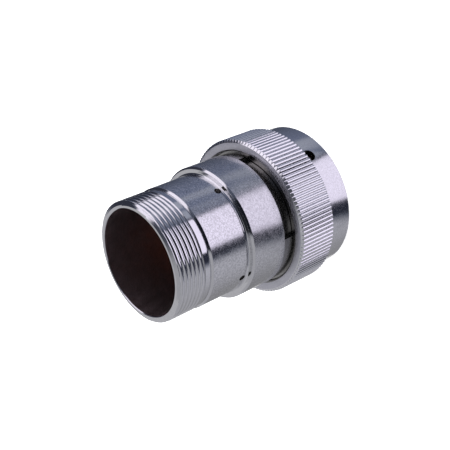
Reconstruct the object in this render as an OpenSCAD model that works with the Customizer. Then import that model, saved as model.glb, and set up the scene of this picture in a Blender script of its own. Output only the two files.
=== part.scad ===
// Circular plug connector with a bayonet coupling ring.
// It stands on the ring's mating face, with the threaded wire entry at the top.
// Origin: centre of the mating face. +Z runs along the axis towards the wire entry.
// Lengths in millimetres.

/* [Coupling ring] */
// Length of the coupling ring
ring_l = 20.3; // [18.5:0.1:26]
// Length of the knurled grip, from the ring's rear face
knurl_l = 12.2; // [9:0.1:14]
// Height of the grip above the plain band
knurl_rise = 1.7; // [1.2:0.1:2.5]
// Depth of the grooves between the teeth
knurl_depth = 0.75; // [0.4:0.05:1]
// Number of teeth round the grip
knurl_teeth = 116; // [80:4:132]
// Chamfer on the ends of the teeth, along the axis
knurl_chamfer = 0.45; // [0.2:0.05:1]
// Wall left outside the bayonet grooves
band_wall = 1.1; // [0.8:0.1:2]
// Radial space between the shell's barrel and the ring
receptacle_room = 2; // [1.6:0.1:3]
// Depth of the counterbore in the rear face
counterbore_depth = 1.6; // [1:0.1:2.2]
// Wall round the counterbore, measured to the roots of the teeth
counterbore_wall = 2.45; // [1.8:0.05:2.8]
// Thickness of the inner web that pulls on the shell
web_t = 1.5; // [1:0.1:2.5]

/* [Bayonet] */
// Number of bayonet grooves
grooves = 3; // [2:1:4]
// Depth of the grooves into the ring's bore
groove_depth = 1.15; // [0.8:0.05:1.5]
// Width of the grooves
groove_w = 3.3; // [2.5:0.1:3.6]
// Height of the groove's start above the mating face
groove_start_z = 1.9; // [1.7:0.1:2.5]
// Height of the groove's end and of the view holes
groove_end_z = 6.25; // [5:0.05:6.5]
// Turn of the ring from start to end of a groove
groove_turn = 80; // [60:5:95]
// Diameter of the view holes
view_hole_d = 3.65; // [3.4:0.05:4]
// Direction of the first view hole
view_hole_angle = -7.7; // [-60:0.1:60]

/* [End bell] */
// Bore for the wires
wire_bore_d = 29.2; // [27:0.1:30]
// Wall from the bore to the crest of the rear thread
thread_wall = 1.95; // [1.7:0.05:2.5]
// Length of the rear thread with its end chamfer
thread_l = 8.4; // [6:0.1:14]
// Pitch of the rear thread
thread_pitch = 1.27; // [1.2:0.01:1.6]
// Depth of the rear thread's groove below its wide, flat crest
thread_depth = 0.3; // [0.2:0.02:0.32]
// Wall at the plain neck below the thread
neck_wall = 1.75; // [1.5:0.05:2.2]
// Length of the plain neck
neck_l = 1.6; // [1:0.1:4]
// Width of the relief groove below the neck
relief_w = 0.5; // [0.3:0.05:1]
// Depth of the relief groove
relief_depth = 0.35; // [0.2:0.05:0.6]
// Wall at the waist
waist_wall = 2.15; // [1.9:0.05:2.8]
// Length of the waist, from the shoulder to its rear chamfer
waist_l = 12; // [8:0.1:20]
// Chamfer at the rear of the waist
waist_chamfer = 0.5; // [0.3:0.05:1]
// Fillet between the waist and the shoulder
waist_fillet = 0.8; // [0.4:0.05:1]
// Length of the sleeve that covers the shell
sleeve_l = 11.2; // [8:0.1:16]
// Wall of the sleeve
sleeve_wall = 1.15; // [0.9:0.05:2]
// Chamfer between the shoulder and the sleeve
sleeve_chamfer = 0.5; // [0.2:0.05:0.6]
// Thickness of the shoulder between sleeve and waist
shoulder_t = 1.2; // [1:0.1:2]
// Gap from the coupling ring to the sleeve
ring_gap = 3; // [2:0.1:5]

/* [Spanner holes] */
// Number of spanner holes in the waist
spanner_holes = 4; // [2:1:6]
// Diameter of the spanner holes
spanner_hole_d = 1.85; // [1.2:0.05:2.2]
// Depth of the spanner holes
spanner_hole_depth = 1.3; // [0.8:0.1:1.6]
// Distance of the spanner holes from the shoulder
spanner_hole_rise = 1.35; // [1:0.05:3]

/* [Shell] */
// Diameter of the insulators
insert_d = 29.8; // [27:0.1:31]
// Wall of the shell's front barrel
barrel_wall = 1.3; // [1:0.05:1.6]
// Distance of the barrel's front from the mating face
barrel_recess = 1; // [0.5:0.1:2]
// Thickness of the lip that stops the insulators
lip_t = 1.5; // [1:0.1:2.5]
// Height of that lip
lip_h = 0.6; // [0.4:0.05:1]
// Thickness of the flange inside the coupling ring
flange_t = 2; // [1.4:0.1:3]
// Wall of the shell behind the flange
shell_wall = 2; // [1.6:0.05:2.2]
// Height of the shell's rear thread
shell_thread_h = 0.4; // [0.2:0.05:0.6]
// Direction of the main keyway
key_angle = 15; // [-180:1:180]
// Width of the keyways
keyway_w = 2.2; // [1.5:0.1:3]
// Depth of the keyways
keyway_depth = 0.75; // [0.4:0.05:0.9]
// Length of the keyways
keyway_l = 8; // [4:0.1:10]

/* [Spring and rings] */
// Room for the wave spring
spring_room = 1.8; // [1.4:0.1:2.5]
// Thickness of the spring's strip
spring_t = 0.35; // [0.2:0.05:0.5]
// Number of waves
spring_waves = 3; // [3:1:5]
// Thickness of the thrust washer
washer_t = 0.5; // [0.3:0.05:0.8]
// Radial thickness of the split collar
collar_w = 1.35; // [0.8:0.05:1.6]
// Opening of the split collar
collar_opening = 85; // [40:1:120]
// Direction of the middle of that opening
collar_angle = -21; // [-180:1:180]
// Thickness of the end bell's gasket
bell_gasket_t = 1; // [0.6:0.1:1.6]
// Thickness of the receptacle's gasket
face_gasket_t = 1.5; // [1:0.1:2.5]
// Depth of the groove that holds it on the barrel
face_gasket_seat = 0.3; // [0.2:0.05:0.5]

/* [Insulators and contacts] */
// Length of the front insulator behind the lip
front_insulator_l = 13; // [10:0.1:15]
// Length of the rear insulator
rear_insulator_l = 9; // [7:0.1:12]
// Thickness of the threaded lock ring
lock_ring_t = 2; // [1.4:0.1:3]
// Radial width of the lock ring
lock_ring_w = 2; // [1.4:0.1:2.4]
// Rings of contacts round the middle one
contact_rings = 2; // [1:1:2]
// Wall of insulation outside the outermost contacts
contact_edge_wall = 1.9; // [1.5:0.1:3]
// Diameter of a contact's socket
socket_d = 2.6; // [2:0.1:3]
// Bore of a contact's socket
socket_bore_d = 1.6; // [1:0.1:1.8]
// Depth of the socket's bore
socket_depth = 8; // [5:0.1:10]
// Height of the collar that holds a contact
contact_collar_h = 0.4; // [0.2:0.05:0.6]
// Thickness of that collar
contact_collar_t = 1.2; // [0.8:0.1:2]
// Wall of the solder cup
cup_wall = 0.35; // [0.25:0.05:0.5]
// Depth of the solder cup
cup_depth = 4; // [2.5:0.1:5]
// How far the solder cups stand out of the rear insulator
cup_reach = 4.6; // [3:0.1:4.7]

/* [Hidden] */
$fn = 96;
// Overshoot of a cutting body past the face it cuts
cut = 1;
// Number of sections along a bayonet groove and round the wave spring
groove_steps = 20;
spring_steps = 96;
// Number of sections in one turn of the rear thread
thread_steps = 60;
// Angle between the points of a fillet
fillet_step = 15;

// Radial clearance of the ring round the shell
turn_fit = 0.15;
// Radial clearance between plain thread cylinders
thread_fit = 0.05;
// Radial clearance of the insulators in the shell
insert_fit = 0.1;
// Clearance of a contact in the insulators
contact_fit = 0.05;
// Radial clearance of the web round the neck
ring_fit = 0.2;
// Radial clearance on both sides of the wave spring
spring_fit = 0.2;
// Clearance above and below the wave spring
seat_fit = 0.02;
// Radial clearance for a pin that enters a socket
pin_fit = 0.25;

// Chamfers
band_chamfer = 0.3;
mouth_chamfer = 0.4;
sleeve_break = 0.2;
bore_chamfer = 0.2;

// Share of the tooth pitch that a tooth's flat top takes, and share of the flat root
tooth_top = 0.48;
tooth_root = 0.12;
// Depth of the chamfer on the teeth below their roots
knurl_end_step = 0.15;
// Most of the shoulder that the fillet may take
fillet_share = 0.9;
// Share of a groove's turn behind its entry that the ramp takes
ramp_share = 0.998;
// Angle of a thread's flanks, width of its groove's flat bottom, and reach of the groove's
// cutting body past the crest
flank_angle = 30;
thread_root_w = 0.2;
thread_over = 0.2;
// Angle at which the rear thread's groove leaves the neck, and the part of a turn in which the
// groove reaches its depth
thread_start = 250;
thread_runout = 0.2;
// Width and height of the wide chamfer from the rim to the rear thread
rim_lead_w = 1.2;
rim_lead_h = 0.6;
// Plain length of the neck inside the end bell's sleeve, before the shell's thread
thread_lead = 0.6;
// Length of the gasket's seat in front of the gasket
seat_lead = 0.2;
// Depth of the insulator's face behind the barrel's front, and of the sockets behind that face
insert_setback = 0.4;
socket_setback = 1.2;
// Width of the slots for turning the lock ring
lock_slot_w = 2;
// Share of the solder cup's depth that is cut open, and distance of that cut from the middle
cup_window = 0.7;
cup_cut = 0.3;
// Keyways, measured from the main one
key_pattern = [0, 105, 140, 215, 265];

// Radii, from the insulators outwards
insert_r = insert_d / 2;
shell_bore_r = insert_r + insert_fit;
barrel_r = shell_bore_r + barrel_wall;
ring_bore_r = barrel_r + receptacle_room;
groove_r = ring_bore_r + groove_depth;
band_r = groove_r + band_wall;
knurl_tip_r = band_r + knurl_rise;
knurl_root_r = knurl_tip_r - knurl_depth;
knurl_end_r = knurl_root_r - knurl_end_step;
shell_neck_r = shell_bore_r + shell_wall;
shell_thread_r = shell_neck_r + shell_thread_h;
flange_r = ring_bore_r - turn_fit;
web_r = shell_neck_r + ring_fit;
counterbore_r = knurl_root_r - counterbore_wall;
gasket_seat_r = barrel_r - face_gasket_seat;
sleeve_bore_r = shell_thread_r + thread_fit;
sleeve_r = sleeve_bore_r + sleeve_wall;

// Radii of the end bell's rear part, from the wire bore outwards
wire_bore_r = wire_bore_d / 2;
thread_r = wire_bore_r + thread_wall;
neck_r = wire_bore_r + neck_wall;
relief_r = neck_r - relief_depth;
waist_r = wire_bore_r + waist_wall;
fillet_r = min(waist_fillet, (sleeve_r - waist_r - sleeve_chamfer) * fillet_share);

// Heights, from the mating face upwards
web_rear_z = ring_l - counterbore_depth;
web_front_z = web_rear_z - web_t;
flange_rear_z = web_front_z - spring_room;
flange_front_z = flange_rear_z - flange_t;
face_gasket_z = flange_front_z - face_gasket_t;
gasket_seat_z = face_gasket_z - seat_lead;
washer_rear_z = web_rear_z + washer_t;
sleeve_z = ring_l + ring_gap;
shoulder_z = sleeve_z + sleeve_l;
sleeve_floor_z = shoulder_z - shoulder_t;
shell_rear_z = sleeve_floor_z - bell_gasket_t;
waist_top_z = shoulder_z + waist_l;
relief_z = waist_top_z + waist_chamfer;
neck_z = relief_z + relief_w;
thread_z = neck_z + neck_l;
rim_z = thread_z + thread_l;
lip_rear_z = barrel_recess + lip_t;
insulator_joint_z = lip_rear_z + front_insulator_l;
insulator_rear_z = insulator_joint_z + rear_insulator_l;
insert_face_z = barrel_recess + insert_setback;

// Contacts stand on a triangular grid
contact_r = socket_d / 2;
contact_collar_r = contact_r + contact_collar_h;
contact_pitch = (insert_r - contact_edge_wall - contact_collar_r) / contact_rings;
contact_spots = [for (q = [-contact_rings:contact_rings], r = [-contact_rings:contact_rings])
    if (abs(q + r) <= contact_rings)
        contact_pitch * [q + r / 2, r * sqrt(3) / 2]];
contact_front_z = insert_face_z + socket_setback;

function contact_name(i) = str("contact_", i < 9 ? "0" : "", i + 1);

// A point at a radius and an angle
function polar(r, a) = [r * cos(a), r * sin(a)];

// Outline of the knurl: each tooth has a flat top and a narrow root
function knurl_outline(n, tip, root) = [for (i = [0:n - 1],
    p = [[-tooth_top / 2, tip], [tooth_top / 2, tip],
        [(1 - tooth_root) / 2, root], [(1 + tooth_root) / 2, root]])
    polar(p[1], (i + p[0]) * 360 / n)];

// A closed ring or an open strip of rectangular sections, joined one after the other.
// Each section is its four corners.
module strip(sections, closed) {
    n = len(sections);
    last = closed ? n - 1 : n - 2;
    sides = [for (i = [0:last], j = [0:3])
        [4 * i + j, 4 * i + (j + 1) % 4, 4 * ((i + 1) % n) + (j + 1) % 4, 4 * ((i + 1) % n) + j]];
    ends = closed ? [] : [[3, 2, 1, 0], [4 * n - 4, 4 * n - 3, 4 * n - 2, 4 * n - 1]];
    polyhedron([for (s = sections) for (p = s) p], concat(sides, ends), convexity = 6);
}

// Corners of a rectangular section between two radii and two heights
function section(r1, r2, z1, z2, a) =
    [concat(polar(r1, a), z1), concat(polar(r2, a), z1),
     concat(polar(r2, a), z2), concat(polar(r1, a), z2)];

// One bayonet groove: an entry open to the mating face, then a ramp up to the view hole
module bayonet_groove() {
    entry_half = groove_w / 2 / ring_bore_r * 180 / PI;
    // The ramp starts just past the entry, so that the two sections there stay apart
    ramp_turn = (groove_turn - entry_half) * ramp_share;
    slope = (groove_end_z - groove_start_z) / groove_turn;
    inner = ring_bore_r - cut;
    entry = [for (a = [-entry_half, 0, entry_half])
        section(inner, groove_r, -cut, groove_start_z + groove_w / 2 + slope * max(a, 0),
            a - groove_turn)];
    ramp = [for (i = [groove_steps:-1:0])
        let (a = -ramp_turn * i / groove_steps, z = groove_end_z + slope * a)
        section(inner, groove_r, z - groove_w / 2, z + groove_w / 2, a)];
    strip(concat(entry, ramp), false);
}

module coupling_ring() {
    color("silver")
    difference() {
        union() {
            intersection() {
                translate([0, 0, ring_l - knurl_l])
                    linear_extrude(knurl_l)
                        polygon(knurl_outline(knurl_teeth, knurl_tip_r, knurl_root_r));
                rotate_extrude()
                    polygon([[0, ring_l - knurl_l], [knurl_end_r, ring_l - knurl_l],
                        [knurl_tip_r, ring_l - knurl_l + knurl_chamfer],
                        [knurl_tip_r, ring_l - knurl_chamfer], [knurl_end_r, ring_l], [0, ring_l]]);
            }
            rotate_extrude()
                polygon([[0, 0], [band_r - band_chamfer, 0], [band_r, band_chamfer],
                    [band_r, ring_l - knurl_l / 2], [0, ring_l - knurl_l / 2]]);
        }
        rotate_extrude()
            polygon([[0, -cut], [ring_bore_r + mouth_chamfer + cut, -cut],
                [ring_bore_r, mouth_chamfer], [ring_bore_r, web_front_z], [web_r, web_front_z],
                [web_r, web_rear_z], [counterbore_r, web_rear_z],
                [counterbore_r, ring_l - mouth_chamfer],
                [counterbore_r + mouth_chamfer + cut, ring_l + cut], [0, ring_l + cut]]);
        for (i = [0:grooves - 1])
            rotate([0, 0, view_hole_angle + i * 360 / grooves]) {
                bayonet_groove();
                translate([ring_bore_r - cut, 0, groove_end_z])
                    rotate([0, 90, 0])
                        cylinder(d = view_hole_d, h = knurl_tip_r - ring_bore_r + 2 * cut);
            }
    }
}

module plug_shell() {
    color("gainsboro")
    difference() {
        rotate_extrude()
            polygon([[shell_bore_r - lip_h, barrel_recess],
                [barrel_r - mouth_chamfer, barrel_recess],
                [barrel_r, barrel_recess + mouth_chamfer], [barrel_r, gasket_seat_z],
                [gasket_seat_r, gasket_seat_z], [gasket_seat_r, flange_front_z],
                [flange_r, flange_front_z], [flange_r, flange_rear_z],
                [shell_neck_r, flange_rear_z], [shell_neck_r, sleeve_z + thread_lead],
                [shell_thread_r, sleeve_z + thread_lead + shell_thread_h],
                [shell_thread_r, shell_rear_z],
                [shell_bore_r, shell_rear_z], [shell_bore_r, lip_rear_z],
                [shell_bore_r - lip_h, lip_rear_z]]);
        for (a = key_pattern)
            rotate([0, 0, key_angle + a])
                translate([barrel_r - keyway_depth, -keyway_w / 2, barrel_recess - cut])
                    cube([keyway_depth + cut, keyway_w, keyway_l + cut]);
    }
}

// The groove of the rear thread: one helix that fades in behind the neck and leaves at the rim
module thread_groove() {
    turns = thread_l / thread_pitch + 1;
    out_r = thread_r + thread_over;
    sections = [for (i = [0:ceil(turns * thread_steps)])
        let (turn = i / thread_steps, a = thread_start + turn * 360, z = thread_z + turn * thread_pitch,
            root_r = thread_r - thread_depth + (thread_depth + thread_over / 2)
                * max(0, 1 - turn / thread_runout),
            root = thread_root_w / 2, mouth = root + (out_r - root_r) * tan(flank_angle))
        [concat(polar(root_r, a), z - root), concat(polar(out_r, a), z - mouth),
            concat(polar(out_r, a), z + mouth), concat(polar(root_r, a), z + root)]];
    strip(sections, false);
}

module end_bell() {
    fillet = [for (a = [0:fillet_step:90])
        [waist_r + fillet_r * (1 - cos(a)), shoulder_z + fillet_r * (1 - sin(a))]];
    color("gainsboro")
    difference() {
        rotate_extrude()
            polygon(concat([[sleeve_bore_r, sleeve_z], [sleeve_r - sleeve_break, sleeve_z],
                [sleeve_r, sleeve_z + sleeve_break], [sleeve_r, shoulder_z - sleeve_chamfer],
                [sleeve_r - sleeve_chamfer, shoulder_z]],
                [for (i = [len(fillet) - 1:-1:0]) fillet[i]],
                [[waist_r, waist_top_z], [waist_r - waist_chamfer, relief_z],
                [relief_r, relief_z], [relief_r, neck_z], [neck_r, neck_z], [neck_r, thread_z],
                [thread_r, thread_z], [thread_r, rim_z - rim_lead_h],
                [thread_r - rim_lead_w, rim_z], [wire_bore_r + bore_chamfer, rim_z],
                [wire_bore_r, rim_z - bore_chamfer], [wire_bore_r, sleeve_floor_z],
                [sleeve_bore_r, sleeve_floor_z]]));
        for (i = [0:spanner_holes - 1])
            rotate([0, 0, i * 360 / spanner_holes])
                translate([waist_r - spanner_hole_depth, 0, shoulder_z + spanner_hole_rise])
                    rotate([0, 90, 0])
                        cylinder(d = spanner_hole_d, h = spanner_hole_depth + 2 * cut);
        thread_groove();
    }
}

// A plain ring with a rectangular section
module flat_ring(r1, r2, z1, z2) {
    rotate_extrude()
        translate([r1, z1])
            square([r2 - r1, z2 - z1]);
}

module end_bell_gasket() {
    color("dimgray")
        flat_ring(shell_bore_r, shell_thread_r, shell_rear_z, sleeve_floor_z);
}

module split_collar() {
    color("darkgray")
    rotate([0, 0, collar_angle + collar_opening / 2])
        rotate_extrude(angle = 360 - collar_opening)
            translate([shell_neck_r, washer_rear_z])
                square([collar_w, sleeve_z - washer_rear_z]);
}

module thrust_washer() {
    color("lightgray")
        flat_ring(web_r, counterbore_r - ring_fit, web_rear_z, washer_rear_z);
}

module wave_spring() {
    mid_z = (flange_rear_z + web_front_z) / 2;
    swing = (spring_room - spring_t) / 2 - seat_fit;
    color("slategray")
        strip([for (i = [0:spring_steps - 1])
            let (a = i * 360 / spring_steps, z = mid_z + swing * cos(spring_waves * a))
            section(shell_neck_r + spring_fit, ring_bore_r - spring_fit,
                z - spring_t / 2, z + spring_t / 2, a)], true);
}

module receptacle_gasket() {
    color("orangered")
        flat_ring(gasket_seat_r, flange_r - spring_fit, face_gasket_z, flange_front_z);
}

module front_insulator() {
    socket_hole_r = contact_r + contact_fit;
    collar_hole_r = contact_collar_r + contact_fit;
    collar_z = insulator_joint_z - contact_collar_t;
    pin_hole_r = socket_bore_d / 2 + pin_fit;
    color("saddlebrown")
    difference() {
        rotate_extrude()
            polygon([[0, insert_face_z], [insert_r - lip_h, insert_face_z],
                [insert_r - lip_h, lip_rear_z], [insert_r, lip_rear_z],
                [insert_r, insulator_joint_z], [0, insulator_joint_z]]);
        for (p = contact_spots)
            translate(p)
                rotate_extrude()
                    polygon([[0, insert_face_z - cut], [pin_hole_r, insert_face_z - cut],
                        [pin_hole_r, contact_front_z], [socket_hole_r, contact_front_z],
                        [socket_hole_r, collar_z], [collar_hole_r, collar_z],
                        [collar_hole_r, insulator_joint_z + cut], [0, insulator_joint_z + cut]]);
    }
}

module rear_insulator() {
    color("saddlebrown")
    difference() {
        translate([0, 0, insulator_joint_z])
            cylinder(r = insert_r, h = rear_insulator_l);
        for (p = contact_spots)
            translate(concat(p, insulator_joint_z - cut))
                cylinder(r = contact_r + contact_fit, h = rear_insulator_l + 2 * cut);
    }
}

module insulator_lock_ring() {
    color("silver")
    difference() {
        flat_ring(insert_r - lock_ring_w, insert_r, insulator_rear_z, insulator_rear_z + lock_ring_t);
        for (a = [0, 90])
            rotate([0, 0, a])
                translate([-insert_r - cut, -lock_slot_w / 2, insulator_rear_z + lock_ring_t / 2])
                    cube([2 * (insert_r + cut), lock_slot_w, lock_ring_t]);
    }
}

// A socket contact with a solder cup, its wire side cut open
module contact(i) {
    front_z = contact_front_z + contact_fit;
    collar_z = insulator_joint_z - contact_collar_t;
    cup_top_z = insulator_rear_z + cup_reach;
    cup_floor_z = cup_top_z - cup_depth;
    cup_bore_r = contact_r - cup_wall;
    color("gold")
    translate(contact_spots[i])
    difference() {
        rotate_extrude()
            polygon([[socket_bore_d / 2, front_z], [contact_r, front_z], [contact_r, collar_z],
                [contact_collar_r, collar_z], [contact_collar_r, insulator_joint_z],
                [contact_r, insulator_joint_z], [contact_r, cup_top_z], [cup_bore_r, cup_top_z],
                [cup_bore_r, cup_floor_z], [0, cup_floor_z], [0, contact_front_z + socket_depth],
                [socket_bore_d / 2, contact_front_z + socket_depth]]);
        translate([-contact_r - cut, cup_cut, cup_top_z - cup_depth * cup_window])
            cube([2 * (contact_r + cut), contact_r + cut, cup_depth]);
    }
}

coupling_ring();
plug_shell();
end_bell();
end_bell_gasket();
split_collar();
thrust_washer();
wave_spring();
receptacle_gasket();
front_insulator();
rear_insulator();
insulator_lock_ring();
for (i = [0:len(contact_spots) - 1])
    contact(i);
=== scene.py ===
import math

import bmesh
import bpy
from mathutils import Matrix, Vector


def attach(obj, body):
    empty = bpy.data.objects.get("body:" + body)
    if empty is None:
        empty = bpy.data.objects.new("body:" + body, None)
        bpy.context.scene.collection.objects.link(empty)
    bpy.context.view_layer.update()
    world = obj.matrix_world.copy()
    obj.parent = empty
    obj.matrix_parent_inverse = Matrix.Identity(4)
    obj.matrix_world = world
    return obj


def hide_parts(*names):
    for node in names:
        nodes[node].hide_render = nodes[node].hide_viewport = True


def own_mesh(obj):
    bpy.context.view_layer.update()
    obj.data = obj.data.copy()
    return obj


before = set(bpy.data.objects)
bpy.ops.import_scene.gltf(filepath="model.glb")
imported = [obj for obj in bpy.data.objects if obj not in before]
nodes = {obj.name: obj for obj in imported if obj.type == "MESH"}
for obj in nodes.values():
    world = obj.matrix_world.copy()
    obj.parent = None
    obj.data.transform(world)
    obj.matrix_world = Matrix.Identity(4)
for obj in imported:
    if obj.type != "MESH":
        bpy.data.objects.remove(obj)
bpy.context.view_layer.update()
MM = 0.001

# ---------------------------------------------------------------- dimensions, mm
# Coupling ring
RING_L = 20.3
KNURL_Z = 8.1
KNURL_TEETH = 116
KNURL_TIP = 22.246
KNURL_ROOT = 21.5
KNURL_END = 21.35                       # radius at which the end chamfers start
KNURL_FRONT, KNURL_REAR = 0.45, 0.55    # length of the chamfers at the teeth's ends
# Half a tooth of the knurl: the phase from its middle, in teeth, and the height, from 0 at the
# root to 1 at the tip. The sides meet in a narrow rounded crest, over a steep root.
HALF_TOOTH = [(0.08, 1.0), (0.15, 0.985), (0.28, 0.84), (0.40, 0.66), (0.47, 0.0)]
BAND_R = 20.55
RING_BORE = 18.3
GROOVE_R = 19.45
WEB_R = 17.2
WEB_FRONT_Z, WEB_REAR_Z = 17.2, 18.7
COUNTERBORE_R = 19.05
MOUTH, BAND_CHAMFER = 0.4, 0.3          # chamfers at both mouths, and in front of the band
GROOVES = 3
GROOVE_W = 3.3
GROOVE_START_Z, GROOVE_END_Z = 1.9, 6.25
GROOVE_TURN = 80
GROOVE_STEPS = 48
RAMP_SHARE = 0.998          # the ramp starts just past the entry, so two sections there stay apart
VIEW_HOLE_D = 3.65
VIEW_HOLE_ANGLE = -7.7

# End bell
SLEEVE_Z, SLEEVE_FLOOR_Z, SHOULDER_Z = 23.3, 33.3, 34.5
SLEEVE_BORE, SLEEVE_R = 17.45, 18.6
SLEEVE_BREAK, SLEEVE_CHAMFER = 0.2, 0.5
WAIST_R, WAIST_TOP_Z = 16.75, 46.5
WAIST_FILLET, WAIST_CHAMFER = 0.8, 0.5
RELIEF_R, RELIEF_Z = 16.05, 47.0
NECK_R, NECK_Z = 16.35, 47.5
THREAD_R, THREAD_Z, RIM_Z = 16.55, 49.1, 57.5
WIRE_BORE = 14.6
THREAD_PITCH = 1.27
# The groove of the thread: distance from its middle along the axis, and depth. Its front side,
# which faces the rim, is the longer one.
THREAD_GROOVE = [(-0.5, 0.0), (-0.4, 0.05), (-0.16, 0.32), (-0.02, 0.32), (0.12, 0.14),
                 (0.24, 0.085), (0.63, 0.0)]
THREAD_STEP = 0.13          # greatest distance between rows of the thread's mesh
THREAD_START = 250 / 360    # part of a turn at which the groove leaves the neck
THREAD_RUNOUT = 0.2         # part of a turn in which the groove reaches its depth
RIM_LEAD_W, RIM_LEAD_H, BORE_CHAMFER = 1.2, 0.6, 0.2
SPANNER_HOLES = 4
SPANNER_HOLE_D, SPANNER_HOLE_DEPTH, SPANNER_HOLE_Z = 1.85, 1.3, 35.85
BELL_COLUMNS = 360

# Wave spring
SPRING_R1, SPRING_R2 = 17.2, 18.1
SPRING_Z1, SPRING_Z2 = 15.42, 17.18
SPRING_T, SPRING_WAVES, SPRING_STEPS = 0.35, 3, 240

SMOOTH_ANGLE = 35           # edges sharper than this, in degrees, stay hard
OVERCUT = 1.0               # how far a cutter reaches past the piece that it cuts

# ---------------------------------------------------------------- mesh helpers


def polar(r, a):
    """Place of a point at a radius and an angle."""
    return r * math.cos(a), r * math.sin(a)


def soften(points, cuts=3):
    """Rounds the inner corners of a run of (radius, height, corner radius) points."""
    out = [points[0][:2]]
    for before, (r, z, corner), after in zip(points, points[1:], points[2:]):
        here = Vector((r, z))
        before, after = Vector(before[:2]) - here, Vector(after[:2]) - here
        half = before.angle(after) / 2
        back = min(corner / math.tan(half), before.length * 0.45, after.length * 0.45)
        start = here + before.normalized() * back
        end = here + after.normalized() * back
        for k in range(cuts + 1):
            t = k / cuts
            p = start.lerp(here, t).lerp(here.lerp(end, t), t)
            out.append((p.x, p.y))
    return out + [points[-1][:2]]


def mesh_object(name, verts, faces, body=None):
    """A piece from vertices in mm. It rides a body, unless it is a cutter."""
    mesh = bpy.data.meshes.new(name)
    mesh.from_pydata([Vector(v) * MM for v in verts], [], faces)
    obj = bpy.data.objects.new(name, mesh)
    bpy.context.scene.collection.objects.link(obj)
    clean(mesh)
    shade(mesh)
    if body:
        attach(obj, body)
    return obj


def clean(mesh):
    """Joins doubled vertices, drops faces without an area and turns the rest outwards."""
    bm = bmesh.new()
    bm.from_mesh(mesh)
    bmesh.ops.remove_doubles(bm, verts=bm.verts, dist=1e-7)
    bmesh.ops.dissolve_degenerate(bm, edges=bm.edges, dist=1e-7)
    bmesh.ops.recalc_face_normals(bm, faces=bm.faces)
    bm.to_mesh(mesh)
    bm.free()


def shade(mesh):
    """Smooth shading between hard edges."""
    mesh.shade_smooth()
    mesh.set_sharp_from_angle(angle=math.radians(SMOOTH_ANGLE))


def lathe_faces(columns, rows, skip=None):
    """Quads between the closed rows of every pair of columns, without those of a row to skip."""
    faces = []
    for i in range(columns):
        j = (i + 1) % columns
        for k in range(rows):
            m = (k + 1) % rows
            if k != skip:
                faces.append((i * rows + k, j * rows + k, j * rows + m, i * rows + m))
    return faces


def cut(obj, cutters):
    """Takes the cutters' shapes out of a piece."""
    for c in cutters:
        m = obj.modifiers.new("cut", "BOOLEAN")
        m.operation, m.solver, m.object = "DIFFERENCE", "EXACT", c
    dg = bpy.context.evaluated_depsgraph_get()
    mesh = bpy.data.meshes.new_from_object(obj.evaluated_get(dg))
    obj.modifiers.clear()
    old = obj.data
    obj.data = mesh
    bpy.data.meshes.remove(old)
    mesh.name = obj.name
    for c in cutters:
        bpy.data.objects.remove(c)
    shade(mesh)


def radial_pin(angle, z, d, r1, r2, sides=48):
    """A cylinder that lies along a radius, for cutting a hole."""
    verts = []
    for r in (r1, r2):
        for i in range(sides):
            a = 2 * math.pi * i / sides
            verts.append((r, d / 2 * math.cos(a), z + d / 2 * math.sin(a)))
    faces = [(i, (i + 1) % sides, sides + (i + 1) % sides, sides + i) for i in range(sides)]
    faces += [tuple(reversed(range(sides))), tuple(range(sides, 2 * sides))]
    turn = Matrix.Rotation(angle, 3, "Z")
    return mesh_object("cutter", [turn @ Vector(v) for v in verts], faces)


def strip(sections, name="cutter", closed=False, body=None):
    """Sections of four corners, joined one after the other. A closed strip has no ends."""
    verts = [p for s in sections for p in s]
    n = len(sections)
    faces = []
    for i in range(n if closed else n - 1):
        j = (i + 1) % n
        for k in range(4):
            m = (k + 1) % 4
            faces.append((4 * i + k, 4 * i + m, 4 * j + m, 4 * j + k))
    if not closed:
        faces += [(3, 2, 1, 0), (4 * n - 4, 4 * n - 3, 4 * n - 2, 4 * n - 1)]
    return mesh_object(name, verts, faces, body)


def section(r1, r2, z1, z2, a):
    """The four corners of a rectangle in the plane at an angle."""
    return [(*polar(r1, a), z1), (*polar(r2, a), z1), (*polar(r2, a), z2), (*polar(r1, a), z2)]


# ---------------------------------------------------------------- shapes


def tooth_radius(h):
    """Radius at a height of the teeth, from 0 at the root to 1 at the tip."""
    return KNURL_ROOT + (KNURL_TIP - KNURL_ROOT) * h


def chamfer_z(r, length):
    """Distance from the knurl's end at which its end chamfer reaches a radius."""
    return length * (r - KNURL_END) / (KNURL_TIP - KNURL_END)


def ring_profile():
    """Rows of the coupling ring: radius, height, and whether the teeth cut the row."""
    plain = soften([(RING_BORE, MOUTH), (RING_BORE + MOUTH, 0, 0.08),
                    (BAND_R - BAND_CHAMFER, 0, 0.08), (BAND_R, BAND_CHAMFER, 0.1),
                    (BAND_R, KNURL_Z)])
    rows = [(r, z, False) for r, z in plain[1:]]
    levels = [KNURL_END] + [tooth_radius(h) for _, h in reversed(HALF_TOOTH)]
    inset = 0.1     # rows this far inside the chamfers keep their shading off the teeth
    rows += [(r, KNURL_Z + chamfer_z(r, KNURL_FRONT), True) for r in levels]
    rows += [(KNURL_TIP, KNURL_Z + KNURL_FRONT + inset, True),
             (KNURL_TIP, RING_L - KNURL_REAR - inset, True)]
    rows += [(r, RING_L - chamfer_z(r, KNURL_REAR), True) for r in reversed(levels)]
    inner = soften([(KNURL_END, RING_L), (COUNTERBORE_R + MOUTH, RING_L, 0.15),
                    (COUNTERBORE_R, RING_L - MOUTH, 0.2), (COUNTERBORE_R, WEB_REAR_Z, 0.1),
                    (WEB_R, WEB_REAR_Z, 0.1), (WEB_R, WEB_FRONT_Z, 0.1),
                    (RING_BORE, WEB_FRONT_Z, 0.1), (RING_BORE, MOUTH)])
    return rows + [(r, z, False) for r, z in inner[1:]]


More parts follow.
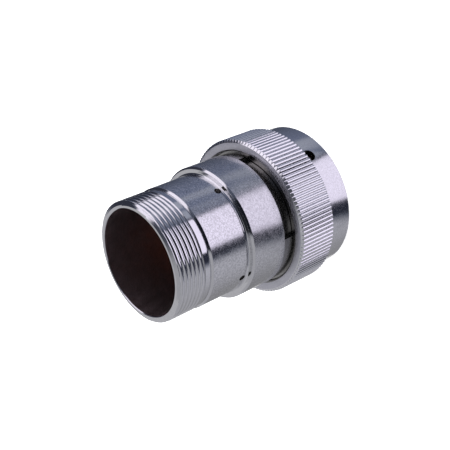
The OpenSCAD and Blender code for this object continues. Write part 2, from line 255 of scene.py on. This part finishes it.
def groove_cutter(angle):
    """A bayonet groove: an entry from the mating face, then a ramp up to the view hole."""
    inner = RING_BORE - OVERCUT
    entry_half = math.degrees(GROOVE_W / 2 / RING_BORE)
    slope = (GROOVE_END_Z - GROOVE_START_Z) / GROOVE_TURN
    sections = []
    for a in (-entry_half, 0, entry_half):
        top = GROOVE_START_Z + GROOVE_W / 2 + slope * max(a, 0)
        sections.append(section(inner, GROOVE_R, -OVERCUT, top,
                                angle + math.radians(a - GROOVE_TURN)))
    ramp = (GROOVE_TURN - entry_half) * RAMP_SHARE
    for i in range(GROOVE_STEPS, -1, -1):
        a = -ramp * i / GROOVE_STEPS
        z = GROOVE_END_Z + slope * a
        sections.append(section(inner, GROOVE_R, z - GROOVE_W / 2, z + GROOVE_W / 2,
                                angle + math.radians(a)))
    return strip(sections)


def coupling_ring():
    """The coupling ring with its cut teeth, bayonet grooves and view holes."""
    rows = ring_profile()
    sections = [(-p, h) for p, h in reversed(HALF_TOOTH)] + HALF_TOOTH
    columns = [(2 * math.pi * (i + p) / KNURL_TEETH, tooth_radius(h))
               for i in range(KNURL_TEETH) for p, h in sections]
    verts = [(*polar(min(r, top) if cut_by_teeth else r, a), z)
             for a, top in columns for r, z, cut_by_teeth in rows]
    faces = lathe_faces(len(columns), len(rows))
    ring = mesh_object("coupling_ring_knurled", verts, faces, "ring")
    cutters = []
    for i in range(GROOVES):
        a = math.radians(VIEW_HOLE_ANGLE + i * 360 / GROOVES)
        cutters.append(radial_pin(a, GROOVE_END_Z, VIEW_HOLE_D, RING_BORE - OVERCUT,
                                  BAND_R + OVERCUT))
        cutters.append(groove_cutter(a))
    cut(ring, cutters)
    return ring


def groove_depth(away):
    """Depth of the thread's groove at a distance from its middle along the axis."""
    for (x1, d1), (x2, d2) in zip(THREAD_GROOVE, THREAD_GROOVE[1:]):
        if x1 <= away <= x2:
            return d1 + (d2 - d1) * (away - x1) / (x2 - x1)
    return 0.0


def thread_rows():
    """Distances from the groove's middle at which one pitch of the thread has rows."""
    edges = [x for x, _ in THREAD_GROOVE] + [THREAD_GROOVE[0][0] + THREAD_PITCH]
    rows = []
    for a, b in zip(edges, edges[1:]):
        count = math.ceil((b - a) / THREAD_STEP - 0.01)
        rows += [a + (b - a) * i / count for i in range(count)]
    return rows


def thread_radius(turn, z):
    """Radius of the rear thread at a share of a turn and a height."""
    phase = (z - THREAD_Z) / THREAD_PITCH - (turn - THREAD_START)
    lap = round(phase)
    runout = min(max((lap + turn - THREAD_START) / THREAD_RUNOUT, 0), 1)
    r = THREAD_R - groove_depth((phase - lap) * THREAD_PITCH) * runout
    rim = THREAD_R - max(z - (RIM_Z - RIM_LEAD_H), 0) * RIM_LEAD_W / RIM_LEAD_H
    return min(r, rim)


def thread_mesh():
    """The thread's vertices and faces. Its rows climb by one pitch in a turn, so where the last
    column meets the first they are shifted by one pitch."""
    pitch_rows = thread_rows()
    per_pitch = len(pitch_rows)
    rows = (math.ceil((RIM_Z - THREAD_Z) / THREAD_PITCH) + 3) * per_pitch
    verts, faces = [], []
    for i in range(BELL_COLUMNS):
        turn = i / BELL_COLUMNS
        for k in range(rows):
            z = THREAD_Z + (k // per_pitch - 1 + turn - THREAD_START) * THREAD_PITCH
            z = min(max(z + pitch_rows[k % per_pitch], THREAD_Z), RIM_Z)
            verts.append((*polar(thread_radius(turn, z), 2 * math.pi * turn), z))
    for i in range(BELL_COLUMNS):
        j, shift = (i + 1) % BELL_COLUMNS, per_pitch if i == BELL_COLUMNS - 1 else 0
        for k in range(rows - 1 - shift):
            faces.append((i * rows + k, j * rows + k + shift,
                          j * rows + k + 1 + shift, i * rows + k + 1))
    return verts, faces


def bell_profile():
    """The end bell's rows without the thread, and how many of them come before it."""
    below = soften([(WIRE_BORE, RIM_Z - BORE_CHAMFER), (WIRE_BORE, SLEEVE_FLOOR_Z, 0.1),
                    (SLEEVE_BORE, SLEEVE_FLOOR_Z, 0.1), (SLEEVE_BORE, SLEEVE_Z, 0.06),
                    (SLEEVE_R, SLEEVE_Z, SLEEVE_BREAK),
                    (SLEEVE_R, SHOULDER_Z - SLEEVE_CHAMFER, 0.08),
                    (SLEEVE_R - SLEEVE_CHAMFER, SHOULDER_Z, 0.08),
                    (WAIST_R, SHOULDER_Z, WAIST_FILLET), (WAIST_R, WAIST_TOP_Z, 0.1),
                    (WAIST_R - WAIST_CHAMFER, RELIEF_Z, 0.05), (RELIEF_R, RELIEF_Z, 0.04),
                    (RELIEF_R, NECK_Z, 0.06), (NECK_R, NECK_Z, 0.06), (NECK_R, THREAD_Z, 0.06),
                    (THREAD_R, THREAD_Z)], cuts=5)[1:]
    above = soften([(THREAD_R - RIM_LEAD_W, RIM_Z), (WIRE_BORE + BORE_CHAMFER, RIM_Z, 0.06),
                    (WIRE_BORE, RIM_Z - BORE_CHAMFER, 0.1), (WIRE_BORE, SLEEVE_FLOOR_Z)])[:-1]
    return below + above, len(below)


def end_bell():
    """The end bell, turned in one piece, with a real helical rear thread."""
    profile, before_thread = bell_profile()
    angles = [2 * math.pi * i / BELL_COLUMNS for i in range(BELL_COLUMNS)]
    verts = [(*polar(r, a), z) for a in angles for r, z in profile]
    faces = lathe_faces(BELL_COLUMNS, len(profile), skip=before_thread - 1)
    thread_verts, thread_faces = thread_mesh()
    faces += [tuple(len(verts) + v for v in face) for face in thread_faces]
    bell = mesh_object("end_bell_threaded", verts + thread_verts, faces, "shell")
    cut(bell, [radial_pin(2 * math.pi * q / SPANNER_HOLES, SPANNER_HOLE_Z, SPANNER_HOLE_D,
                          WAIST_R - SPANNER_HOLE_DEPTH, WAIST_R + 1.5 * OVERCUT, sides=32)
               for q in range(SPANNER_HOLES)])
    return bell


def wave_spring():
    """The wave spring, a wavy strip closed round the axis, which rides the shell."""
    middle = (SPRING_Z1 + SPRING_Z2) / 2
    swing = (SPRING_Z2 - SPRING_Z1 - SPRING_T) / 2
    sections = []
    for i in range(SPRING_STEPS):
        a = 2 * math.pi * i / SPRING_STEPS
        z = middle + swing * math.cos(SPRING_WAVES * a)
        sections.append(section(SPRING_R1, SPRING_R2, z - SPRING_T / 2, z + SPRING_T / 2, a))
    spring = strip(sections, "wave_spring_strip", closed=True, body="shell")
    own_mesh(spring)
    return spring


# ---------------------------------------------------------------- materials


class Tree:
    """A node tree, with short calls for the nodes used here."""

    def __init__(self, tree):
        self.tree = tree

    def add(self, kind, **inputs):
        """A new node. An underscore in an input's name stands for a space."""
        node = self.tree.nodes.new(kind)
        for key, value in inputs.items():
            self.put(node.inputs[key.replace("_", " ")], value)
        return node

    def put(self, socket, value):
        """Links a socket to another one, or sets its constant."""
        if isinstance(value, bpy.types.NodeSocket):
            self.tree.links.new(value, socket)
        else:
            socket.default_value = value

    def math(self, operation, *values):
        node = self.add("ShaderNodeMath")
        node.operation = operation
        for socket, value in zip(node.inputs, values):
            self.put(socket, value)
        return node.outputs[0]

    def ramp(self, value, low, high, at_low=0.0, at_high=1.0):
        """A smooth step from one value to another."""
        node = self.add("ShaderNodeMapRange", Value=value, From_Min=low, From_Max=high,
                        To_Min=at_low, To_Max=at_high)
        node.interpolation_type = "SMOOTHSTEP"
        return node.outputs[0]

    def mix(self, factor, a, b):
        """Colour a at a factor of 0, and b at 1."""
        node = self.add("ShaderNodeMix")
        node.data_type = "RGBA"
        self.put(node.inputs["Factor"], factor)
        self.put(node.inputs["A"], a)
        self.put(node.inputs["B"], b)
        return node.outputs["Result"]


class Surface(Tree):
    """A material's node tree, with its shader and the piece's own coordinates."""

    def __init__(self, name):
        self.material = bpy.data.materials.new(name)
        self.material.use_nodes = True
        super().__init__(self.material.node_tree)
        self.shader = self.tree.nodes["Principled BSDF"]
        self.coords = self.add("ShaderNodeTexCoord").outputs["Object"]

    def noise(self, scale, detail, roughness=0.5, vector=None):
        node = self.add("ShaderNodeTexNoise", Vector=vector or self.coords, Scale=scale,
                        Detail=detail, Roughness=roughness)
        return node.outputs["Fac"]

    def turning(self):
        """The rings that a lathe leaves: noise along the profile that hardly changes round it."""
        stretch = 0.004
        parts = self.add("ShaderNodeSeparateXYZ", Vector=self.coords)
        x, y, z = parts.outputs
        radius = self.math("SQRT", self.math("ADD", self.math("MULTIPLY", x, x),
                                             self.math("MULTIPLY", y, y)))
        around = self.math("MULTIPLY", self.math("ARCTAN2", y, x), stretch)
        along = self.add("ShaderNodeCombineXYZ", X=radius, Y=around, Z=z).outputs[0]
        return self.noise(2600, 2, 0.6, along)

    def bump(self, height, distance, normal=None):
        node = self.add("ShaderNodeBump", Height=height, Distance=distance, Strength=1.0)
        if normal:
            self.put(node.inputs["Normal"], normal)
        return node.outputs[0]

    def finish(self, **inputs):
        """Fills the shader's sockets and gives the material."""
        for key, value in inputs.items():
            self.put(self.shader.inputs[key.replace("_", " ")], value)
        return self.material


def grey(v, tint=(1, 1, 1)):
    """A grey of a given brightness, slightly tinted."""
    return (v * tint[0], v * tint[1], v * tint[2], 1)


WHITE = (1, 1, 1, 1)
COOL = (0.985, 0.985, 1.0)      # the tint of nickel plate


def plated(name, base, rough, grain, rings, specks=0.0, tint=COOL):
    """Plated or bare metal from a lathe. base is its brightness, rough its roughness, grain the
    share that the fine grain darkens, rings the depth of the turning rings in metres, and specks
    the strength of the sparse dark specks."""
    n = Surface(name)
    fine = n.noise(2100, 3, 0.65)
    broad = n.noise(160, 3, 0.5)
    turned = n.turning()
    worn = n.noise(420, 4, 0.7)
    colour = n.mix(n.ramp(fine, 0.35, 0.65), grey(base * (1 - grain), tint), grey(base, tint))
    colour = n.mix(n.ramp(broad, 0.3, 0.75, 0.0, 0.12), colour, grey(base * 0.75, tint))
    if specks:
        spots = n.add("ShaderNodeTexVoronoi", Vector=n.coords, Scale=900.0)
        pick = n.ramp(n.noise(230, 1), 0.58, 0.66)
        near = n.ramp(spots.outputs["Distance"], 0.07, 0.18, 1.0, 0.0)
        colour = n.mix(n.math("MULTIPLY", n.math("MULTIPLY", near, pick), specks),
                       colour, grey(0.08, tint))
    roughness = n.math("ADD", n.ramp(worn, 0.3, 0.75, rough * 0.85, rough * 1.2),
                       n.ramp(fine, 0.3, 0.7, -0.12 * rough, 0.12 * rough))
    normal = n.bump(fine, grain * 1.5e-5, n.bump(turned, rings))
    return n.finish(Base_Color=colour, Metallic=1.0, Roughness=roughness, Normal=normal)


def moulded(name, base, rough, light):
    """Moulded plastic or rubber: mottled up to light times its colour, with a fine matt grain."""
    n = Surface(name)
    mottle = n.noise(2400, 3, 0.6)
    fine = n.noise(5200, 2, 0.5)
    darker = tuple(c * 0.82 for c in base) + (1,)
    lighter = tuple(min(c * light, 1) for c in base) + (1,)
    colour = n.mix(n.ramp(mottle, 0.3, 0.7), darker, lighter)
    roughness = n.ramp(fine, 0.3, 0.7, rough * 0.85, min(rough * 1.15, 1))
    return n.finish(Base_Color=colour, Roughness=roughness, Normal=n.bump(fine, 8e-6))


def gilded(name):
    """Gold plate over turned brass."""
    n = Surface(name)
    fine = n.noise(4200, 2, 0.5)
    colour = n.mix(n.ramp(fine, 0.3, 0.7), (0.62, 0.42, 0.16, 1), (0.83, 0.62, 0.27, 1))
    return n.finish(Base_Color=colour, Metallic=1.0,
                    Roughness=n.ramp(fine, 0.3, 0.7, 0.22, 0.34),
                    Normal=n.bump(n.turning(), 3e-6))


def dress(obj, *materials, zone=None):
    """Gives a piece its materials. zone(radius, height), in mm, picks one for each face."""
    obj.data.materials.clear()
    for m in materials:
        obj.data.materials.append(m)
    if zone:
        for face in obj.data.polygons:
            c = face.center / MM
            face.material_index = zone(math.hypot(c.x, c.y), c.z)


# The places of the end bell's and the coupling ring's materials
POLISHED, WAIST, SLEEVE, BORE, SPANNER_HOLE = range(5)
BAND, KNURL, INSIDE, REAR_FACE = range(4)
SKIN = 0.05     # a face's middle may lie this far, in mm, from the surface that it belongs to


def bell_zone(r, z):
    """The thread, neck and shoulders are polished, and the waist and sleeve have their own
    finishes. The bore and the spanner holes get darker materials as painted shade.
    """
    if r < WIRE_BORE + BORE_CHAMFER and z < RIM_Z - 2 * SKIN:
        return BORE
    if r < WAIST_R - SKIN and abs(z - SPANNER_HOLE_Z) < SPANNER_HOLE_D:
        return SPANNER_HOLE
    if r > WAIST_R - 3 * SKIN and SHOULDER_Z + WAIST_FILLET + SKIN < z < WAIST_TOP_Z - SKIN:
        return WAIST
    sleeve_z = SLEEVE_Z + SLEEVE_BREAK + SKIN, SHOULDER_Z - SLEEVE_CHAMFER - SKIN
    return SLEEVE if r > SLEEVE_R - 2 * SKIN and sleeve_z[0] < z < sleeve_z[1] else POLISHED


def ring_zone(r, z):
    """The rear face and the knurl differ from the band and the front face, and the inside takes the
    darker steel as painted shade.
    """
    if z > RING_L - 0.4 * SKIN:
        return REAR_FACE
    if r > BAND_R + 2 * SKIN:
        return KNURL
    return INSIDE if r < COUNTERBORE_R + 2 * SKIN else BAND


# ---------------------------------------------------------------- studio

# Directions of the studio in the part's frame: its up, its right, and back to the camera
STUDIO_UP = Vector((0.687, 0.652, -0.320))
STUDIO_RIGHT = Vector((0.246, -0.623, -0.742))
STUDIO_FRONT = Vector((0.684, -0.431, 0.589))
SOFT_BOX = (1.0, 0.95, 1.08, 1)     # the colour of the left soft box


def between(tree, value, span, soft):
    """1 inside a span, 0 outside, with edges that are soft over some degrees."""
    low, high = span
    return tree.math("MULTIPLY", tree.ramp(value, low - soft / 2, low + soft / 2),
                     tree.math("SUBTRACT", 1.0, tree.ramp(value, high - soft / 2, high + soft / 2)))


def studio_light(tree, swing, lift):
    """The studio that the metal mirrors. Each patch has a colour, its degrees to the camera's
    right and its degrees above level, and the width of its soft edges, and covers those before."""
    table = tree.mix(tree.ramp(swing, 90, 165), (0.455, 0.455, 0.51, 1), (0.27, 0.27, 0.285, 1))
    shade = tree.mix(tree.ramp(lift, -38, -8), (0.36, 0.365, 0.39, 1), (0.05, 0.055, 0.075, 1))
    light = tree.mix(tree.ramp(lift, 15, 80), (0.07, 0.08, 0.115, 1), (0.17, 0.195, 0.29, 1))
    light = tree.mix(tree.ramp(lift, -32, -24), (0.38, 0.38, 0.41, 1), light)
    patches = [
        (table, (58, 112), (-100, -18), 9),                     # the table, right
        (table, (112, 200), (-60, 0), 5),
        ((0.46, 0.46, 0.485, 1), (-200, -84), (-60, 4), 6),     # the table, left
        (shade, (-84, -30), (-66, 0), 6),                       # its shaded front
        ((0.006, 0.007, 0.012, 1), (-33, 38), (-27, 15), 5),    # a dark card at the camera
        ((0.13, 0.135, 0.16, 1), (12, 54), (-72, -26), 5),      # a grey one below it
        ((0.03, 0.033, 0.05, 1), (-150, -92), (5, 48), 6),      # a dark card behind the left box
        (SOFT_BOX, (-88, -42), (2, 80), 5),                     # the left soft box
        (SOFT_BOX, (-156, -84), (53, 82), 5),
        (SOFT_BOX, (-46, -16), (49, 84), 6),
        ((0.9, 0.86, 0.96, 1), (-20, 36), (66, 86), 6),
        ((0.33, 0.35, 0.43, 1), (70, 98), (53, 66), 5),         # glows on the ceiling
        ((0.34, 0.36, 0.44, 1), (108, 148), (58, 84), 8),
        ((0.99, 0.93, 1.12, 1), (42, 99), (-1, 50), 3),         # the right soft box
        ((0.10, 0.105, 0.14, 1), (58, 101), (50, 53), 2),       # its frame
        ((0.022, 0.025, 0.040, 1), (56, 112), (-14, -1.5), 3),  # a dark card under it
        (WHITE, (166, 200), (-14, 14), 2),                      # the background
        (WHITE, (-200, -166), (-14, 14), 2),
    ]
    for colour, swings, lifts, soft in patches:
        area = tree.math("MULTIPLY", between(tree, swing, swings, soft),
                         between(tree, lift, lifts, soft))
        light = tree.mix(area, light, colour)
    return light


def studio_world():
    """White to the camera and through clear pieces, a plain grey level for the light on the
    piece, and the studio in reflections."""
    world = bpy.data.worlds.new("studio")
    bpy.context.scene.world = world
    world.use_nodes = True
    world.node_tree.nodes.clear()
    tree = Tree(world.node_tree)
    direction = tree.add("ShaderNodeTexCoord").outputs["Generated"]

    def along(axis):
        node = tree.add("ShaderNodeVectorMath")
        node.operation = "DOT_PRODUCT"
        tree.put(node.inputs[0], direction)
        tree.put(node.inputs[1], axis)
        return node.outputs["Value"]

    to_degrees = 180 / math.pi
    level = tree.math("ARCSINE", along(STUDIO_UP))
    heading = tree.math("ARCTAN2", along(STUDIO_RIGHT), along(STUDIO_FRONT))
    lift = tree.math("MULTIPLY", level, to_degrees)
    swing = tree.math("MULTIPLY", heading, to_degrees)

    path = tree.add("ShaderNodeLightPath").outputs
    plain = tree.mix(path["Is Glossy Ray"], (0.62, 0.62, 0.64, 1), studio_light(tree, swing, lift))
    clear = tree.math("MAXIMUM", path["Is Camera Ray"], path["Is Transmission Ray"])
    background = tree.add("ShaderNodeBackground", Color=tree.mix(clear, plain, WHITE))
    tree.add("ShaderNodeOutputWorld", Surface=background.outputs[0])


def floor():
    """A pale floor that the camera sees as nearly white, with the part's shadow on it."""
    n = Surface("pale_floor")
    fine = n.noise(260, 3, 0.5)
    colour = n.mix(n.ramp(fine, 0.3, 0.7), grey(0.86), grey(0.9))
    path = n.add("ShaderNodeLightPath")
    seen = n.math("MULTIPLY", path.outputs["Is Camera Ray"], 0.45)
    n.finish(Base_Color=colour, Roughness=0.9, Emission_Color=WHITE, Emission_Strength=seen,
             Specular_IOR_Level=0.0)
    mesh = bpy.data.meshes.new("floor")
    half = 4.0      # metres
    mesh.from_pydata([(-half, -half, 0), (half, -half, 0), (half, half, 0), (-half, half, 0)], [],
                     [(0, 1, 2, 3)])
    obj = bpy.data.objects.new("floor", mesh)
    bpy.context.scene.collection.objects.link(obj)
    obj.data.materials.append(n.material)
    obj.visible_glossy = False


def lamp(name, direction, distance, size, power):
    """A round soft lamp that faces the part. The metal doesn't mirror it."""
    data = bpy.data.lights.new(name, "AREA")
    data.shape, data.size, data.energy = "DISK", size, power
    obj = bpy.data.objects.new(name, data)
    obj.location = Vector(direction).normalized() * distance
    obj.rotation_mode = "QUATERNION"
    obj.rotation_quaternion = (-obj.location).to_track_quat("-Z", "Y")
    bpy.context.scene.collection.objects.link(obj)
    obj.visible_glossy = False


CAMERA_PLACE = Vector((170.8, -107.5, 174.7)) * MM
CAMERA_AIM = Vector((0.1, 0.2, 27.65)) * MM
CAMERA_LENS = 73.2
CAMERA_ROLL = 113.3      # degrees that the camera's up leans to its right from level


def camera():
    """The camera at the photograph's angle."""
    data = bpy.data.cameras.new("camera")
    data.lens, data.sensor_width = CAMERA_LENS, 36
    data.clip_start, data.clip_end = 0.01, 20
    obj = bpy.data.objects.new("camera", data)
    bpy.context.scene.collection.objects.link(obj)
    look = (CAMERA_AIM - CAMERA_PLACE).normalized()
    level = look.cross(Vector((0, 0, 1))).normalized()
    roll = math.radians(CAMERA_ROLL)
    up = level.cross(look) * math.cos(roll) + level * math.sin(roll)
    right = look.cross(up)
    obj.matrix_world = Matrix.Translation(CAMERA_PLACE) @ Matrix(
        (right, up, -look)).transposed().to_4x4()
    bpy.context.scene.camera = obj


# ---------------------------------------------------------------- the scene

camera()
studio_world()
floor()
lamp("key", direction=(0.5, 0.5, 1.6), distance=0.9, size=0.6, power=9)
lamp("fill", direction=(0.9, -0.8, 1.0), distance=1.0, size=0.6, power=5)
bpy.context.scene.view_settings.view_transform = "Standard"

polished = plated("polished_plate", 0.85, 0.10, grain=0.05, rings=0.8e-6, specks=0.25)
waist = plated("waist_plate", 0.87, 0.19, grain=0.29, rings=1.5e-6, specks=0.9)
sleeve = plated("sleeve_plate", 0.79, 0.24, grain=0.28, rings=1.2e-6, specks=0.8)
# Painted shade: the bore's wall, part of the same turned bell, is made far darker and red-brown
# than its outside, where the shade inside the tube falls.
bore = plated("bore_painted_shade", 0.36, 0.42, grain=0.10, rings=3e-6, tint=(1.12, 0.90, 0.92))
band = plated("band_plate", 0.84, 0.16, grain=0.12, rings=1.5e-6, specks=0.5)
knurl = plated("knurl_plate", 0.95, 0.17, grain=0.06, rings=0.8e-6)
rear_face = plated("rear_face_plate", 0.78, 0.42, grain=0.12, rings=1.5e-6, specks=0.3,
                   tint=(0.97, 0.965, 1.04))
# Steel for the spring, collar, washer and plug shell, and also painted shade: the same darker steel
# goes on the end bell's spanner holes and the coupling ring's inside, where shade falls in holes
# and gaps.
steel_and_painted_shade = plated("spring_steel", 0.42, 0.24, grain=0.03, rings=0.5e-6, tint=(1.0, 0.985, 0.96))
brown = moulded("brown_insulator", (0.16, 0.045, 0.03), 0.34, 1.25)
black = moulded("black_rubber", (0.03, 0.03, 0.03), 0.7, 1.3)
red = moulded("red_silicone", (0.55, 0.13, 0.07), 0.55, 1.15)
gold = gilded("contact_gold")

bell = end_bell()
# The bore and the spanner holes take darker materials than the rest of the turned bell: painted
# shade in its hollows.
dress(bell, polished, waist, sleeve, bore, steel_and_painted_shade, zone=bell_zone)
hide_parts("end_bell")

ring = coupling_ring()
# The ring's inside takes the darker steel: painted shade in its bores, grooves and view holes.
dress(ring, band, knurl, steel_and_painted_shade, rear_face, zone=ring_zone)
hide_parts("coupling_ring")

spring = wave_spring()
dress(spring, steel_and_painted_shade)
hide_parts("wave_spring")

FINISHES = {
    "plug_shell": steel_and_painted_shade, "split_collar": steel_and_painted_shade, "thrust_washer": steel_and_painted_shade,
    "insulator_lock_ring": waist, "end_bell_gasket": black, "receptacle_gasket": red,
    "front_insulator": brown, "rear_insulator": brown,
}
for name, node in nodes.items():
    if not node.hide_render:
        dress(node, FINISHES.get(name, gold))
